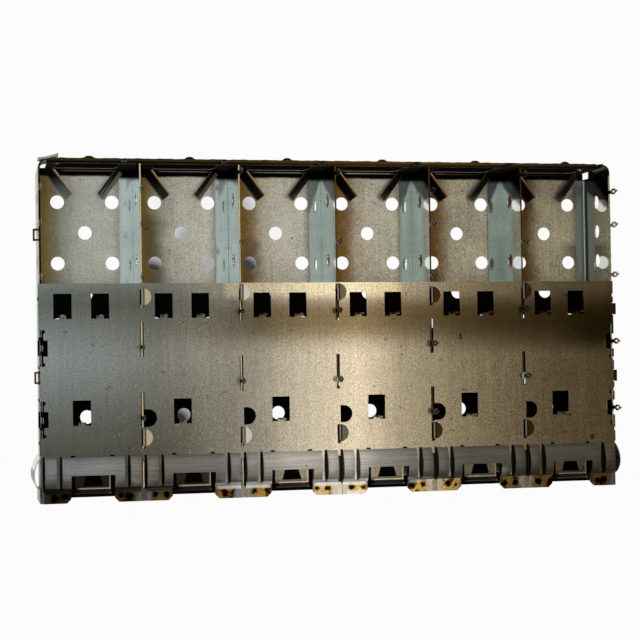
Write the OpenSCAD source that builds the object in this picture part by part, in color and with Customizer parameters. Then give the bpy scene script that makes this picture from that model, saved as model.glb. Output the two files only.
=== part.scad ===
// Ganged receptacle cage, six ports side by side, stamped sheet metal.
// Lies on its top wall: board side up (+Z), ports open toward -Y.

/* [Array] */
// distance between neighbouring port centres
pitch = 14.25; // [14:0.05:15]

/* [Sheet] */
// thickness of the cage sheet
sheet = 0.25; // [0.2:0.01:0.3]
// thickness of the contact spring strip
strip = 0.2; // [0.15:0.01:0.25]

/* [Case] */
// depth from the front tabs to the rear wall outer face
case_depth = 48.2; // [46:0.1:50]
// height from the top wall outer face to the board face
case_height = 9.8; // [9.4:0.05:10.2]
// outer bend radius along the top wall edges
edge_radius = 0.5; // [0.4:0.05:0.8]
// outer bend radius of the rear wrap corners
wrap_radius = 1.2; // [0.9:0.05:1.5]
// length of the flat part of a rear wrap tab
wrap_length = 2; // [1.2:0.1:2.6]
// height of a rear wrap tab
wrap_height = 5; // [3:0.1:6]

/* [Vents] */
// diameter of the round vent holes
vent_diameter = 2; // [1.6:0.05:2.2]
// distance between vent rows along the depth
vent_row = 4.5; // [4.3:0.05:4.6]
// distance of the outer vents from the port centre
vent_side = 3.98; // [3.6:0.02:4.1]
// distance of the first vent row from the rear wall outer face
vent_start = 5; // [4.5:0.1:5.5]

/* [Pins] */
// height of a press pin above the board face
pin_height = 3; // [2.4:0.1:3.4]
// width of the pin needle eye
pin_eye = 0.9; // [0.7:0.05:1]
// width of the pin shank
pin_shank = 0.5; // [0.4:0.05:0.6]

/* [Dividers] */
// width of the divider foot on the top wall
foot_width = 2; // [1.2:0.05:2]
// radius of the folded half-round tabs
tab_radius = 1.25; // [1:0.05:1.35]
// length of the folded tab behind the rear wall
rear_tab_length = 2.4; // [1.6:0.1:3]
// height of the folded tab behind the rear wall
rear_tab_height = 2.6; // [1.8:0.1:3.2]

/* [Base plate] */
// length of the base plate behind the contact springs
plate_length = 24.4; // [23:0.1:25]
// side flange height
flange_height = 2.6; // [2:0.1:3]
// width of a window in the plate
window_width = 2.55; // [2.2:0.05:2.7]
// length of a window in the plate
window_length = 3.55; // [3:0.05:3.8]
// width of the slots over the dividers
slot_width = 0.5; // [0.4:0.02:0.6]

/* [Latch] */
// width of the latch tongue
tongue_width = 4.9; // [4.4:0.05:5.2]
// length of the latch tongue
tongue_length = 5; // [4.5:0.1:5.2]
// width of the latch opening at its rear
latch_back = 1.8; // [1.4:0.05:2]
// width of the latch opening at its front
latch_front = 2.84; // [2.4:0.02:3]
// length of the latch opening
latch_long = 1.75; // [1.5:0.05:1.9]
// height of the lip at the tongue end
lip_height = 0.5; // [0.3:0.05:0.7]

/* [Contact springs] */
// length of a contact finger
finger_length = 4.6; // [4.2:0.05:5]
// depth of the front weld tabs
weld_depth = 1.8; // [1.5:0.05:2]
// how far a finger bulges out
bulge = 1.1; // [0.8:0.05:1.2]
// width of a narrow finger
narrow_width = 1.68; // [1.4:0.02:1.8]
// width of the wide finger
wide_width = 8.8; // [8.4:0.05:9]
// width of the gap between the legs of the wide finger
mouth_width = 6.1; // [5.8:0.05:6.3]

/* [Rear wall] */
// width of a rear wall window
rear_window_width = 9.2; // [8:0.1:10]
// height of a rear wall window
rear_window_height = 7.3; // [6:0.1:7.6]
// height of the rear wall strip under a window
window_sill = 0.4; // [0.3:0.05:0.6]
// length of a kick-out spring
kick_length = 4.7; // [4:0.1:5]
// height of a kick-out spring blade
kick_height = 1.6; // [1:0.1:2]
// angle of a kick-out spring from the rear wall
kick_angle = 54; // [48:1:60]
// lean of a kick-out spring blade from upright
kick_tilt = 42; // [20:1:50]

/* [Hidden] */
ports = 6;
smooth = 48;
half_width = ports * pitch / 2;
front = -(case_depth + sheet) / 2;
rear = front + case_depth;
floor_out = bulge;
floor_in = floor_out + sheet;
board = floor_out + case_height;
plate_in = board - sheet;
wall_mid = (floor_in + plate_in) / 2;
plate_rear = front + weld_depth + finger_length + plate_length;
finger_front = front + weld_depth;
finger_rear = finger_front + finger_length;
wide_slot = 1.05;
relief = 0.56;
oval_reach = [0.05, 0.42];
oval_set = relief * 4.1;
neck_width = 0.4;
hole_reach = 0.5;
tab_slot_spare = 0.3;
vent_first = rear - vent_start;
vent_rows = 8;
// pin places, from the rear wall and from the plate's rear edge
pins_a = concat([for (d = [3.975, 8.975]) rear - d], [for (d = [-0.925, 9.075, 19.075]) plate_rear - d]);
pins_b = concat([for (d = [1.475, 11.475]) rear - d], [for (d = [4.075, 14.075]) plate_rear - d]);
slot_before = 1.4;
slot_behind = 3.65;
front_tab = finger_rear + 2.525;
tabs_a = [front_tab, plate_rear - 1.925];
tabs_b = [front_tab, plate_rear - 1.375];
tab_hole = finger_rear + 5.275;
type_b = [false, true, true, false, true];
pair_rows = [0, 2, 4, 6];
window_rear = plate_rear - 1.425;
window_left = -5.25;
window_right = 0;
low_window_left = -2.7;
low_window_rear = plate_rear - 16.445;
front_slot = [finger_front, finger_front + 3.8];
loops_left = [rear - 10.475, plate_rear - 13.175];
loops_right = [plate_rear - 4.175, plate_rear - 14.275];
loop_length = 1.7;
loop_out = 0.8;
loop_height = 1;
loop_top = plate_in - sheet;
chamfer = 0.6;
steps = 12;
seam = 0.001;
latch_set = 2.3;
third = 1 / 3;
bar_share = 0.55;
flange_notches = [for (d = [2.125, 11.725, 16.325, 22.325]) [plate_rear - d - sheet, plate_rear - d + sheet]];
loop_gap = 0.1;
side_fingers = 3;
side_gap = 0.5;
eye_low = pin_height * 0.28;
eye_high = pin_height * 0.88;
arch_steps = 24;
arch_lean = 0.85;
arch_round = 0.75;

function port_x(i) = (i - (ports + 1) / 2) * pitch;
function divider_x(i) = (i - ports / 2) * pitch;

// a box from its two opposite corners
module block(a, b) {
    translate(a) cube(b - a);
}

// a block cutter that runs past a sheet lying flat
module flat_cut(a, b, z) {
    block([a[0], a[1], z - sheet], [b[0], b[1], z + 2 * sheet]);
}

// press pin outline, root at the origin, pointing up
module pin_outline() {
    mid = (eye_low + eye_high) / 2;
    half = (eye_high - eye_low) / 2;
    difference() {
        union() {
            translate([-pin_shank / 2, -sheet]) square([pin_shank, eye_low + 2 * sheet]);
            polygon([for (k = [0 : smooth / 2 - 1]) let (t = 720 * k / smooth)
                [pin_eye / 2 * cos(t), mid + half * sin(t)]]);
            translate([-pin_shank / 4, mid]) square([pin_shank / 2, pin_height - mid]);
        }
        polygon([for (k = [0 : smooth / 2 - 1]) let (t = 720 * k / smooth)
            [pin_eye / 5 * cos(t), mid + half * 0.66 * sin(t)]]);
    }
}

// pin standing on the board face in a sheet that runs along Y
module pin_along(x, y) {
    translate([x - sheet / 2, y, board])
        rotate([90, 0, 90]) linear_extrude(sheet) pin_outline();
}

// pin standing on the board face in a sheet that runs along X
module pin_across(x, y) {
    translate([x, y + sheet / 2, board])
        rotate([90, 0, 0]) linear_extrude(sheet) pin_outline();
}

// curved sheet from one angle to another about a centre
module bend(centre, outer, from, to) {
    polygon(concat(
        [for (k = [0 : steps]) let (t = from + (to - from) * k / steps)
            centre + outer * [cos(t), sin(t)]],
        [for (k = [steps : -1 : 0]) let (t = from + (to - from) * k / steps)
            centre + (outer - sheet) * [cos(t), sin(t)]]));
}

// wall cross section over one side, from the top wall round the bend
module side_section() {
    low = floor_out + edge_radius;
    translate([half_width - sheet, low]) square([sheet, plate_in - low]);
    bend([half_width - edge_radius, low], edge_radius, -90, 0);
    translate([half_width - edge_radius - sheet, floor_out]) square(sheet);
}

// plan of the rear wrap at one side
module wrap_plan() {
    turn = rear + sheet - wrap_radius;
    bend([half_width - wrap_radius, turn], wrap_radius, 0, 90);
    translate([half_width - sheet, turn - sheet]) square(sheet);
    translate([half_width - wrap_radius - wrap_length, rear]) square([wrap_length, sheet]);
}

module side_wall(loops) {
    turn = rear + sheet - wrap_radius;
    low = floor_out + edge_radius;
    difference() {
        union() {
            translate([0, turn, 0]) rotate([90, 0, 0])
                linear_extrude(turn - front) side_section();
            block([half_width - sheet, plate_rear, plate_in - sheet],
                [half_width, turn, board]);
        }
        for (k = [0 : vent_rows - 1])
            translate([half_width - 2 * sheet, vent_first - k * vent_row, wall_mid])
                rotate([0, 90, 0]) cylinder(h = 4 * sheet, d = vent_diameter, $fn = smooth);
        for (y = loops)
            block([half_width - 2 * sheet, y - loop_length / 2 + sheet, loop_top - loop_height],
                [half_width + sheet, y + loop_length / 2 - sheet, loop_top]);
    }
    translate([0, 0, board - wrap_height]) linear_extrude(wrap_height) wrap_plan();
    for (y = loops)
        translate([half_width, y, loop_top - loop_height]) linear_extrude(loop_height)
            polygon([[-sheet / 2, -loop_length / 2], [loop_out, -loop_length / 2], [loop_out, loop_length / 2],
                [-sheet / 2, loop_length / 2], [-sheet / 2, loop_length / 2 - sheet], [loop_out - sheet, loop_length / 2 - sheet],
                [loop_out - sheet, -loop_length / 2 + sheet], [-sheet / 2, -loop_length / 2 + sheet]]);
    for (y = pins_a) {
        pin_along(half_width - sheet / 2, y);
        if (y < plate_rear)
            block([half_width - sheet, y - pin_shank, plate_in - sheet], [half_width, y + pin_shank, board]);
    }
}

module cover() {
    color([0.62, 0.62, 0.58]) {
        difference() {
            block([-(half_width - edge_radius), front, floor_out],
                [half_width - edge_radius, rear, floor_in]);
            for (i = [1 : ports], k = [0 : vent_rows - 1])
                for (s = (k % 2 == 0) ? [-1, 1] : [0])
                    translate([port_x(i) + s * vent_side, vent_first - k * vent_row, floor_out - sheet])
                        cylinder(h = 3 * sheet, d = vent_diameter, $fn = smooth);
        }
        side_wall(loops_right);
        mirror([1, 0, 0]) side_wall(loops_left);
    }
}

// kick-out spring with its upper root corner at the origin, leaning toward +X and -Y
module kick_blade() {
    rotate([0, 0, -kick_angle]) rotate([-kick_tilt, 0, 0])
        translate([0, -sheet / 2, -kick_height]) cube([kick_length, sheet, kick_height]);
    translate([-sheet, -sheet / 2, -sheet]) cube([2 * sheet, sheet, sheet]);
}

module rear_plate() {
    reach = half_width - wrap_radius - sheet / 2;
    low = floor_in + window_sill;
    kick_top = floor_in + 3 * sheet / 2 + kick_height * cos(kick_tilt);
    color([0.5, 0.5, 0.48]) {
        difference() {
            block([-reach, rear - sheet, floor_in], [reach, rear, board]);
            for (i = [1 : ports])
                block([port_x(i) - rear_window_width / 2, rear - 2 * sheet, low],
                    [port_x(i) + rear_window_width / 2, rear + sheet, low + rear_window_height]);
            for (i = [1 : ports - 1])
                block([divider_x(i) - slot_width / 2, rear - 2 * sheet, board - rear_tab_height - sheet / 2],
                    [divider_x(i) + slot_width / 2, rear + sheet, board + sheet]);
        }
        for (i = [1 : ports], s = [-1, 1])
            translate([port_x(i), rear - sheet / 2, kick_top]) mirror([s > 0 ? 1 : 0, 0, 0])
                translate([-rear_window_width / 2, 0, 0]) kick_blade();
        for (i = [1 : ports]) pin_across(port_x(i) + pitch * third, rear - sheet / 2);
    }
}

// half-round outline with its flat side on the Y axis
module half_round(r) {
    intersection() {
        circle(r, $fn = smooth);
        translate([0, -r]) square([r, 2 * r]);
    }
}

module divider_body(i) {
    x = divider_x(i);
    b = type_b[i - 1];
    pins = b ? pins_b : pins_a;
    tabs = b ? tabs_b : tabs_a;
    half = sheet / 2;
    color([0.66, 0.62, 0.52]) {
        difference() {
            union() {
                block([x - half, front + sheet, floor_in], [x + half, rear - sheet, plate_in]);
                block([x - half, plate_rear, plate_in - sheet], [x + half, rear - sheet, board]);
            }
            for (k = pair_rows)
                translate([x - sheet, vent_first - k * vent_row, wall_mid])
                    rotate([0, 90, 0]) cylinder(h = 2 * sheet, d = vent_diameter, $fn = smooth);
        }
        block([x - half - foot_width, front + weld_depth, floor_in], [x + half, rear - 4 * sheet, floor_in + sheet]);
        block([x - half, front_slot[0] + half, plate_in - sheet], [x + half, front_slot[1] - half, board]);
        block([x - half, rear - 2 * sheet, board - rear_tab_height], [x + half, rear + sheet, board]);
        block([x - half, rear, board - rear_tab_height], [x + rear_tab_length, rear + sheet, board]);
        for (y = tabs) {
            block([x - half, y - tab_radius + half, plate_in - sheet], [x + half, y + tab_radius - half, board + sheet]);
            translate([x + half, y, board]) linear_extrude(sheet) half_round(tab_radius);
        }
        for (y = pins) {
            pin_along(x, y);
            if (y < plate_rear)
                block([x - half, y - pin_shank, plate_in - sheet], [x + half, y + pin_shank, board]);
        }
    }
}

module divider_1() { divider_body(1); }
module divider_2() { divider_body(2); }
module divider_3() { divider_body(3); }
module divider_4() { divider_body(4); }
module divider_5() { divider_body(5); }

// flat plan of the base plate
module plate_plan() {
    mouth = mouth_width / 2;
    difference() {
        translate([-half_width, front]) square([2 * half_width, plate_rear - front]);
        for (i = [1 : ports]) translate([port_x(i), 0]) {
            // mouth between the weld tabs, with the tongue left standing
            difference() {
                translate([-mouth, front - sheet]) square([mouth_width, finger_rear + 2 * sheet - front]);
                translate([-tongue_width / 2, finger_rear - tongue_length + 2 * sheet])
                    square([tongue_width, tongue_length + sheet]);
            }
            for (s = [-1, 1]) polygon([[s * mouth, front - sheet], [s * (mouth + chamfer), front - sheet],
                [s * (mouth + chamfer), front], [s * mouth, front + chamfer]]);
            translate([window_left, window_rear - window_length]) square([window_width, window_length]);
            translate([window_right, window_rear - window_length]) square([window_width, window_length]);
            translate([low_window_left, low_window_rear - window_length]) square([window_width, window_length]);
            // latch opening
            polygon([[-latch_back / 2, finger_rear - latch_set], [latch_back / 2, finger_rear - latch_set],
                [latch_front / 2, finger_rear - latch_set - latch_long], [-latch_front / 2, finger_rear - latch_set - latch_long]]);
        }
        for (i = [1 : ports - 1]) translate([divider_x(i), 0]) {
            b = type_b[i - 1];
            for (y = b ? pins_b : pins_a) if (y < plate_rear)
                translate([-slot_width / 2, y - slot_before]) square([slot_width, slot_before + slot_behind]);
            for (y = b ? tabs_b : tabs_a)
                translate([-slot_width / 2, y - tab_radius - tab_slot_spare])
                    square([slot_width, 2 * tab_radius + tab_slot_spare]);
            translate([-slot_width / 2, front_slot[0]]) square([slot_width, front_slot[1] - front_slot[0]]);
            translate([slot_width / 2 - seam, tab_hole - tab_radius]) square([hole_reach + 2 * seam, 2 * tab_radius]);
            translate([slot_width / 2 + hole_reach, tab_hole]) half_round(tab_radius);
        }
        // openings over the side wall pins
        for (s = [-1, 1], y = pins_a) if (y < plate_rear) translate([s * half_width, y]) {
            translate([-wide_slot, -relief * 2]) square([2 * wide_slot, relief * 4]);
            for (e = [-1, 1]) {
                for (reach = oval_reach)
                    translate([-s * reach, e * oval_set]) circle(relief / 2, $fn = smooth);
                translate([-s * (oval_reach[0] + oval_reach[1]) / 2, e * oval_set])
                    square([oval_reach[1] - oval_reach[0], relief], center = true);
                translate([-s * (oval_reach[0] + oval_reach[1]) / 2, e * relief * 3])
                    square([neck_width, 2 * relief], center = true);
            }
        }
    }
}

// side flange with its rounded fold, notched over the loops and the pins
module flange(loops) {
    low = board - flange_height;
    high = board - sheet;
    cuts = concat(flange_notches,
        [for (y = loops) [y - loop_length / 2 - loop_gap, y + loop_length / 2 + loop_gap]],
        [for (y = pins_a) if (y < plate_rear) [y - 2 * relief, y + 2 * relief]]);
    difference() {
        translate([0, plate_rear, 0]) rotate([90, 0, 0]) linear_extrude(plate_rear - finger_rear - sheet)
            polygon(concat([[half_width, low], [half_width + sheet, low]],
                [for (k = [0 : steps]) let (t = 90 * k / steps)
                    [half_width + sheet * cos(t), high + sheet * sin(t)]]));
        for (n = cuts)
            block([half_width - sheet, n[0], low + 2 * sheet], [half_width + 2 * sheet, n[1], board + sheet]);
    }
}

module lip() {
    start = finger_rear - tongue_length + 2 * sheet;
    rise = lip_height;
    translate([-tongue_width / 2, 0, 0]) rotate([90, 0, 90]) linear_extrude(tongue_width)
        polygon([[start, plate_in], [start, board], [start - rise, board + rise],
            [start - rise - sheet * 0.7, board + rise - sheet * 0.7], [start - sheet * 0.4, plate_in + sheet * 0.2]]);
}

module base_plate() {
    color([0.55, 0.52, 0.44]) {
        translate([0, 0, plate_in]) linear_extrude(sheet) plate_plan();
        flange(loops_right);
        mirror([1, 0, 0]) flange(loops_left);
        for (i = [1 : ports]) translate([port_x(i), 0, 0]) {
            lip();
            for (x = [window_left, window_right]) window_pin(x, window_rear);
            window_pin(low_window_left, low_window_rear);
        }
    }
}

// pin lanced out of a window, rooted at the window's front edge
module window_pin(x, back) {
    y = back - window_length;
    block([x + window_width / 2 - pin_shank, y - sheet, plate_in], [x + window_width / 2 + pin_shank, y + 2 * sheet, board]);
    pin_across(x + window_width / 2, y + 1.5 * sheet);
}

// cross section of a weld tab and finger: X is the depth, Y the height
module finger_section() {
    lift = bulge - strip;
    n = arch_steps;
    line = [for (k = [0 : n]) let (u = k / n)
        [finger_front + finger_length * u, lift * pow(sin(180 * pow(u, arch_lean)), arch_round)]];
    translate([front, 0]) square([weld_depth + seam, strip]);
    polygon(concat(line, [for (k = [n : -1 : 0]) line[k] + [0, strip]]));
}

// plan of one port's contact spring comb
module comb_plan(reach) {
    inner = mouth_width / 2;
    outer = pitch / 2 - slot_width / 2 - sheet / 2;
    for (s = [-1, 1]) mirror([s < 0 ? 1 : 0, 0]) {
        polygon([[inner, finger_front + sheet], [inner, front + chamfer], [inner + chamfer, front],
            [outer, front], [outer, finger_front + sheet]]);
        translate([inner, finger_front]) square([(wide_width - mouth_width) / 2, reach]);
        translate([outer - narrow_width, finger_front]) square([narrow_width, reach]);
    }
    translate([-wide_width / 2, finger_rear - finger_length * bar_share])
        square([wide_width, finger_length * bar_share]);
}

// comb lying on a face at z = 0, fingers rising
module comb() {
    intersection() {
        translate([-pitch / 2, 0, 0]) rotate([90, 0, 90]) linear_extrude(pitch) finger_section();
        translate([0, 0, -strip]) linear_extrude(bulge + 2 * strip) comb_plan(finger_length);
    }
}

module bottom_spring(i) {
    color([0.45, 0.44, 0.47]) translate([port_x(i), 0, board]) comb();
}

module top_spring(i) {
    color([0.45, 0.44, 0.47]) translate([port_x(i), 0, floor_out]) mirror([0, 0, 1]) comb();
}

module bottom_spring_1() { bottom_spring(1); }
module bottom_spring_2() { bottom_spring(2); }
module bottom_spring_3() { bottom_spring(3); }
module bottom_spring_4() { bottom_spring(4); }
module bottom_spring_5() { bottom_spring(5); }
module bottom_spring_6() { bottom_spring(6); }
module top_spring_1() { top_spring(1); }
module top_spring_2() { top_spring(2); }
module top_spring_3() { top_spring(3); }
module top_spring_4() { top_spring(4); }
module top_spring_5() { top_spring(5); }
module top_spring_6() { top_spring(6); }

// side comb: three fingers down the height of a side wall
module side_spring() {
    low = floor_out + edge_radius;
    high = plate_in - sheet;
    each_height = (high - low - (side_fingers - 1) * side_gap) / side_fingers;
    color([0.45, 0.44, 0.47]) translate([half_width, 0, 0]) intersection() {
        // depth runs along Y and height along +X here
        translate([0, 0, low]) linear_extrude(high - low)
            mirror([1, -1]) finger_section();
        union() {
            block([-strip, front, low], [bulge + strip, finger_front + sheet, high]);
            for (k = [0 : side_fingers - 1])
                block([-strip, finger_front, low + k * (each_height + side_gap)],
                    [bulge + strip, finger_rear, low + k * (each_height + side_gap) + each_height]);
        }
    }
}

module side_spring_right() { side_spring(); }
module side_spring_left() { mirror([1, 0, 0]) side_spring(); }

cover();
rear_plate();
base_plate();
divider_1();
divider_2();
divider_3();
divider_4();
divider_5();
bottom_spring_1();
bottom_spring_2();
bottom_spring_3();
bottom_spring_4();
bottom_spring_5();
bottom_spring_6();
top_spring_1();
top_spring_2();
top_spring_3();
top_spring_4();
top_spring_5();
top_spring_6();
side_spring_left();
side_spring_right();
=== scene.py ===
import bpy
import bmesh
import numpy as np
from functools import partial
from mathutils import Matrix, Vector


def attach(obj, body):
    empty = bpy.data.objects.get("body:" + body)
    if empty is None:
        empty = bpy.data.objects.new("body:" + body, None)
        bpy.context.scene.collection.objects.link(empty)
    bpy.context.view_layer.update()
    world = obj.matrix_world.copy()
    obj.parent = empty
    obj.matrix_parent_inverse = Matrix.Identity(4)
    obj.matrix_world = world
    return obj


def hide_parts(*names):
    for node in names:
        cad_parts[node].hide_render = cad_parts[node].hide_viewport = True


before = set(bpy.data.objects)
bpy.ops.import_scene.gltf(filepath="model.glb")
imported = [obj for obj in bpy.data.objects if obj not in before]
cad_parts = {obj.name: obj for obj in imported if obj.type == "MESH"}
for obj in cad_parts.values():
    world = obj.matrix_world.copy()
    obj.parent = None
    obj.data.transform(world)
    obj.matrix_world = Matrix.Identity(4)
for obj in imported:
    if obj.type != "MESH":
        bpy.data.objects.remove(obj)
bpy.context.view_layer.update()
print("frame loaded")

# a millimetre in metres, and the distance from port to port
mm = 0.001
pitch = 14.25 * mm

# place in millimetres over the left ports, the camera's own three axes, lens in millimetres
cameraSetup = {
    "place": (-53.646, -4.486, 238.965),
    "right": (0.975827, -0.015366, 0.218002),
    "up": (0.009774, 0.999596, 0.026706),
    "back": (-0.218324, -0.023930, 0.975583),
    "lens": 90.52,
    "sensor": 36.0,
    "clip": (0.01, 5.0),
}


def makeCamera(setup):
    data = bpy.data.cameras.new("camera")
    data.sensor_width = setup["sensor"]
    data.lens = setup["lens"]
    data.clip_start, data.clip_end = setup["clip"]
    camera = bpy.data.objects.new("camera", data)
    bpy.context.scene.collection.objects.link(camera)
    turn = Matrix((setup["right"], setup["up"], setup["back"])).transposed().to_4x4()
    camera.matrix_world = Matrix.Translation(Vector(setup["place"]) * mm) @ turn
    bpy.context.scene.camera = camera


makeCamera(cameraSetup)
print("camera placed")


def srgb(hexText):
    values = [int(hexText[k:k + 2], 16) / 255 for k in (0, 2, 4)]
    return tuple(v / 12.92 if v <= 0.04045 else ((v + 0.055) / 1.055) ** 2.4 for v in values)


def feed(tree, socket, value):
    # a socket takes a link, a number, or a colour as levels or six hex digits
    if isinstance(value, str):
        value = srgb(value)
    if hasattr(value, "links"):
        tree.links.new(value, socket)
    elif isinstance(value, (int, float)):
        socket.default_value = value
    else:
        size = len(socket.default_value)
        socket.default_value = (tuple(value) + (1.0,))[:size]


def mathNode(tree, operation, a, b=None, c=None, clamp=False):
    node = tree.nodes.new("ShaderNodeMath")
    node.operation = operation
    node.use_clamp = clamp
    for socket, value in zip(node.inputs, (a, b, c)):
        if value is not None:
            feed(tree, socket, value)
    return node.outputs[0]


def mixColour(tree, factor, a, b, blend="MIX"):
    node = tree.nodes.new("ShaderNodeMix")
    node.data_type = "RGBA"
    node.blend_type = blend
    for socket, value in zip((node.inputs[0], node.inputs[6], node.inputs[7]), (factor, a, b)):
        feed(tree, socket, value)
    return node.outputs[2]


def rampNode(tree, factor, stops):
    node = tree.nodes.new("ShaderNodeValToRGB")
    ramp = node.color_ramp
    while len(ramp.elements) < len(stops):
        ramp.elements.new(0.5)
    for element, (position, colour) in zip(ramp.elements, stops):
        element.position = position
        shade = srgb(colour) if isinstance(colour, str) else (colour,) * 3
        element.color = shade + (1.0,)
    feed(tree, node.inputs[0], factor)
    return node.outputs[0]


def noiseNode(tree, vector, scale, detail, rough):
    node = tree.nodes.new("ShaderNodeTexNoise")
    node.inputs["Scale"].default_value = scale
    node.inputs["Detail"].default_value = detail
    node.inputs["Roughness"].default_value = rough
    feed(tree, node.inputs["Vector"], vector)
    return node.outputs[0]


def above(tree, level, start, slope):
    # nothing up to the start, then a rise by the slope, to one at most
    return mathNode(tree, "MULTIPLY", mathNode(tree, "SUBTRACT", level, start), slope, clamp=True)


def placeInPort(tree, x):
    # 0 at a port's left divider to 1 at its right one; ten whole ports more keep it above nothing
    return mathNode(tree, "FRACT", mathNode(tree, "MULTIPLY_ADD", x, 1 / pitch, 10.0))


def between(start, full, last, end):
    # stops that rise from start to full, hold to last and fall to end
    return [(start, 0.0), (full, 1.0), (last, 1.0), (end, 0.0)]


def vectorMath(tree, operation, a, b):
    node = tree.nodes.new("ShaderNodeVectorMath")
    node.operation = operation
    feed(tree, node.inputs[0], a)
    feed(tree, node.inputs[1], b)
    return node.outputs


def scaled(tree, vector, factors):
    return vectorMath(tree, "MULTIPLY", vector, factors)[0]


def newGroup(name, inputs, outputs):
    group = bpy.data.node_groups.new(name, "ShaderNodeTree")
    for label, kind, value in inputs:
        socket = group.interface.new_socket(label, in_out="INPUT", socket_type=kind)
        if value is not None:
            socket.default_value = value
    for label, kind in outputs:
        group.interface.new_socket(label, in_out="OUTPUT", socket_type=kind)
    return group, group.nodes.new("NodeGroupInput").outputs, group.nodes.new("NodeGroupOutput").inputs


def useGroup(tree, group, **values):
    node = tree.nodes.new("ShaderNodeGroup")
    node.node_tree = group
    for name, value in values.items():
        feed(tree, node.inputs[name], value)
    return node.outputs


# noise cells a metre for each mark; the flecks' two directions run across and along their slant
grainSetup = {
    "fine": (6500.0, 130.0, 6500.0),
    "broad": (1500.0, 40.0, 1500.0),
    "specks": 7000.0,
    "clouds": 170.0,
    "nicks": 700.0,
    "flecks": ((220.0, 900.0, 0.0), (6200.0, -1500.0, 0.0)),
}


def makeGrain(setup):
    # rolling streaks along Y, fine specks, broad clouds, sparse dark nicks and bright slanted flecks
    labels = ("Streaks", "Specks", "Clouds", "Nicks", "Scratches")
    group, start, end = newGroup("metalGrain", [("Vector", "NodeSocketVector", None)],
        [(label, "NodeSocketFloat") for label in labels])
    calc = partial(mathNode, group)
    vector = start["Vector"]
    fine = noiseNode(group, scaled(group, vector, setup["fine"]), 1.0, detail=2.0, rough=0.5)
    broad = noiseNode(group, scaled(group, vector, setup["broad"]), 1.0, detail=3.0, rough=0.6)
    lanes = group.nodes.new("ShaderNodeCombineXYZ")
    for socket, direction in zip(lanes.inputs, setup["flecks"]):
        group.links.new(vectorMath(group, "DOT_PRODUCT", vector, direction)["Value"], socket)
    flecks = noiseNode(group, lanes.outputs[0], 1.0, detail=1.0, rough=0.4)
    nicks = noiseNode(group, vector, setup["nicks"], detail=4.0, rough=0.7)
    fineShare, broadShare = 0.55, 0.45
    marks = (calc("ADD", calc("MULTIPLY", fine, fineShare), calc("MULTIPLY", broad, broadShare)),
        noiseNode(group, vector, setup["specks"], detail=2.0, rough=0.7),
        noiseNode(group, vector, setup["clouds"], detail=4.0, rough=0.6),
        above(group, nicks, start=0.66, slope=14.0),
        above(group, flecks, start=0.68, slope=16.0))
    for label, mark in zip(labels, marks):
        group.links.new(mark, end[label])
    return group


def makeWindow():
    # one inside a box, falling to nothing over the soft distance outside it
    inputs = [("Vector", "NodeSocketVector", None), ("Low", "NodeSocketVector", (-1, -1, -1)),
        ("High", "NodeSocketVector", (1, 1, 1)), ("Soft", "NodeSocketFloat", 0.001)]
    group, start, end = newGroup("softWindow", inputs, [("Mask", "NodeSocketFloat")])
    total = None
    for upper, lower in ((start["Vector"], start["Low"]), (start["High"], start["Vector"])):
        split = group.nodes.new("ShaderNodeSeparateXYZ")
        group.links.new(vectorMath(group, "SUBTRACT", upper, lower)[0], split.inputs[0])
        for axis in split.outputs:
            part = mathNode(group, "ADD", mathNode(group, "DIVIDE", axis, start["Soft"]), 1.0, clamp=True)
            total = part if total is None else mathNode(group, "MULTIPLY", total, part)
    group.links.new(total, end["Mask"])
    return group


def makeFacing():
    # how nearly a surface normal follows an axis: its size, and with its sign
    inputs = [("Normal", "NodeSocketVector", None), ("Axis", "NodeSocketVector", (0, 0, 1))]
    group, start, end = newGroup("facing", inputs,
        [("Size", "NodeSocketFloat"), ("Signed", "NodeSocketFloat")])
    value = vectorMath(group, "DOT_PRODUCT", start["Normal"], start["Axis"])["Value"]
    group.links.new(value, end["Signed"])
    group.links.new(mathNode(group, "ABSOLUTE", value), end["Size"])
    return group


# millimetres: weld spots off each divider on one row, how fast they fade, and where bare metal starts;
# noise in cells a metre; strengths of the blots, of the spots and of the paler middle ports, partly a
# painted highlight
weldSetup = {
    "spots": (1.7, 3.3),
    "row": -23.3,
    "fade": 1.7,
    "bare": 0.85,
    "blotCells": 560.0,
    "driftCells": 210.0,
    "drift": 2.4,
    "level": 0.52,
    "blots": 2.6,
    "spotBlots": 1.5,
    "spotDepth": 0.8,
    "pale": 0.2,
    "paleFall": 90.0,
    "paleShift": 0.2,
    "edgeBlots": 2.4,
    "edgeSlope": 2.4,
    "colours": [(0.0, "160d08"), (0.2, "3c2010"), (0.34, "80601e"), (0.46, "c8a23c"),
        (0.58, "ecdc90"), (0.72, "d8bc84"), (0.86, "f4ead0"), (1.0, "ffffff")],
}


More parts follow.
